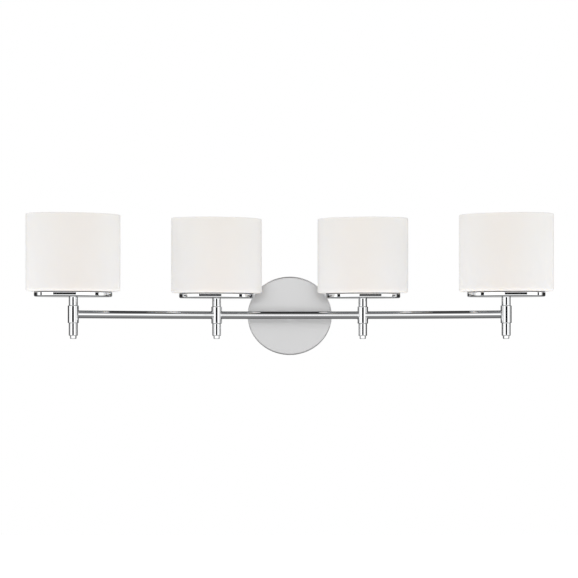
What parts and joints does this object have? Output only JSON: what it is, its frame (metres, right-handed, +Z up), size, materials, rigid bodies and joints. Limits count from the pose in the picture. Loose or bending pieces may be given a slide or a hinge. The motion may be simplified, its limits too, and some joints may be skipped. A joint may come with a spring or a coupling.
{
  "type": "vanity light bar",
  "caption": "Wall light with a bowed chrome bar on an oval canopy, carrying upright oval opal glass shades on tees, stems and holders, each with a small two-pin lamp inside.",
  "frame": {"origin": "centre of the canopy's wall face, level with the bar's centre line", "axes": "+X along the bar to the viewer's right, +Y into the wall, +Z up; the front faces -Y"},
  "size_m": [0.8332, 0.2257, 0.2249],
  "materials": {
    "chrome": "mirror-polished chrome plate",
    "canopy_steel": "chrome plate with a soft even sheen",
    "zinc_steel": "zinc-plated pressed steel",
    "brass": "turned brass, nickel-free",
    "earth_green": "green dyed steel",
    "wire_cover": "heat-proof wire covering",
    "connector_nylon": "moulded nylon",
    "gasket_silicone": "dark silicone",
    "socket_ceramic": "unglazed steatite",
    "opal_glass": "blown opal glass, satin inside and glossy outside",
    "washer_fibre": "pale fibre",
    "lamp_ceramic": "white ceramic",
    "lamp_wire": "nickel wire and tungsten coil",
    "lamp_glass": "frosted quartz"
  },
  "bodies": {
    "fixture": {"canopy": "canopy_steel", "mounting_strap": "zinc_steel", "side_screws": "chrome", "earth_screw": "earth_green", "arm": "chrome", "lock_washer": "zinc_steel", "arm_nut": "brass", "bar_left": "chrome", "bar_centre": "chrome", "bar_right": "chrome", "wiring_harness": "wire_cover", "wire_connectors": "connector_nylon", "tee_1": "chrome", "stem_1": "chrome", "finial_1": "chrome", "holder_1": "chrome", "gasket_1": "gasket_silicone", "socket_1": "socket_ceramic", "tee_2": "chrome", "stem_2": "chrome", "finial_2": "chrome", "holder_2": "chrome", "gasket_2": "gasket_silicone", "socket_2": "socket_ceramic", "tee_3": "chrome", "stem_3": "chrome", "finial_3": "chrome", "holder_3": "chrome", "gasket_3": "gasket_silicone", "socket_3": "socket_ceramic", "tee_4": "chrome", "stem_4": "chrome", "finial_4": "chrome", "holder_4": "chrome", "gasket_4": "gasket_silicone", "socket_4": "socket_ceramic"},
    "glass_1": {"shade_1": "opal_glass"},
    "friction_washer_1": {"washer_1": "washer_fibre"},
    "ring_1": {"screw_ring_1": "brass"},
    "lamp_1": {"lamp_base_1": "lamp_ceramic", "lamp_filament_1": "lamp_wire", "lamp_glass_1": "lamp_glass"},
    "glass_2": {"shade_2": "opal_glass"},
    "friction_washer_2": {"washer_2": "washer_fibre"},
    "ring_2": {"screw_ring_2": "brass"},
    "lamp_2": {"lamp_base_2": "lamp_ceramic", "lamp_filament_2": "lamp_wire", "lamp_glass_2": "lamp_glass"},
    "glass_3": {"shade_3": "opal_glass"},
    "friction_washer_3": {"washer_3": "washer_fibre"},
    "ring_3": {"screw_ring_3": "brass"},
    "lamp_3": {"lamp_base_3": "lamp_ceramic", "lamp_filament_3": "lamp_wire", "lamp_glass_3": "lamp_glass"},
    "glass_4": {"shade_4": "opal_glass"},
    "friction_washer_4": {"washer_4": "washer_fibre"},
    "ring_4": {"screw_ring_4": "brass"},
    "lamp_4": {"lamp_base_4": "lamp_ceramic", "lamp_filament_4": "lamp_wire", "lamp_glass_4": "lamp_glass"}
  },
  "joints": [
    {"name": "shade_lift_1", "type": "slide", "parent": "fixture", "child": "glass_1", "axis": [0, 0, 1], "range_m": [0, 0.15]},
    {"name": "washer_rise_1", "type": "slide", "parent": "glass_1", "child": "friction_washer_1", "axis": [0, 0, 1], "range_m": [0, 0.0045]},
    {"name": "ring_turn_1", "type": "hinge", "parent": "friction_washer_1", "child": "ring_1", "pos_m": [-0.34336, -0.18117, 0.0435], "axis": [0, 0, 1], "range_deg": [0, 1080]},
    {"name": "lamp_pull_1", "type": "slide", "parent": "fixture", "child": "lamp_1", "axis": [0, 0, 1], "range_m": [0, 0.15]},
    {"name": "shade_lift_2", "type": "slide", "parent": "fixture", "child": "glass_2", "axis": [0, 0, 1], "range_m": [0, 0.15]},
    {"name": "washer_rise_2", "type": "slide", "parent": "glass_2", "child": "friction_washer_2", "axis": [0, 0, 1], "range_m": [0, 0.0045]},
    {"name": "ring_turn_2", "type": "hinge", "parent": "friction_washer_2", "child": "ring_2", "pos_m": [-0.12001, -0.09328, 0.0435], "axis": [0, 0, 1], "range_deg": [0, 1080]},
    {"name": "lamp_pull_2", "type": "slide", "parent": "fixture", "child": "lamp_2", "axis": [0, 0, 1], "range_m": [0, 0.15]},
    {"name": "shade_lift_3", "type": "slide", "parent": "fixture", "child": "glass_3", "axis": [0, 0, 1], "range_m": [0, 0.15]},
    {"name": "washer_rise_3", "type": "slide", "parent": "glass_3", "child": "friction_washer_3", "axis": [0, 0, 1], "range_m": [0, 0.0045]},
    {"name": "ring_turn_3", "type": "hinge", "parent": "friction_washer_3", "child": "ring_3", "pos_m": [0.12001, -0.09328, 0.0435], "axis": [0, 0, 1], "range_deg": [0, 1080]},
    {"name": "lamp_pull_3", "type": "slide", "parent": "fixture", "child": "lamp_3", "axis": [0, 0, 1], "range_m": [0, 0.15]},
    {"name": "shade_lift_4", "type": "slide", "parent": "fixture", "child": "glass_4", "axis": [0, 0, 1], "range_m": [0, 0.15]},
    {"name": "washer_rise_4", "type": "slide", "parent": "glass_4", "child": "friction_washer_4", "axis": [0, 0, 1], "range_m": [0, 0.0045]},
    {"name": "ring_turn_4", "type": "hinge", "parent": "friction_washer_4", "child": "ring_4", "pos_m": [0.34336, -0.18117, 0.0435], "axis": [0, 0, 1], "range_deg": [0, 1080]},
    {"name": "lamp_pull_4", "type": "slide", "parent": "fixture", "child": "lamp_4", "axis": [0, 0, 1], "range_m": [0, 0.15]}
  ],
  "couplings": [
    {"joint": "washer_rise_1", "follows": "ring_turn_1", "m_per_rad": 0.00023873},
    {"joint": "washer_rise_2", "follows": "ring_turn_2", "m_per_rad": 0.00023873},
    {"joint": "washer_rise_3", "follows": "ring_turn_3", "m_per_rad": 0.00023873},
    {"joint": "washer_rise_4", "follows": "ring_turn_4", "m_per_rad": 0.00023873}
  ]
}
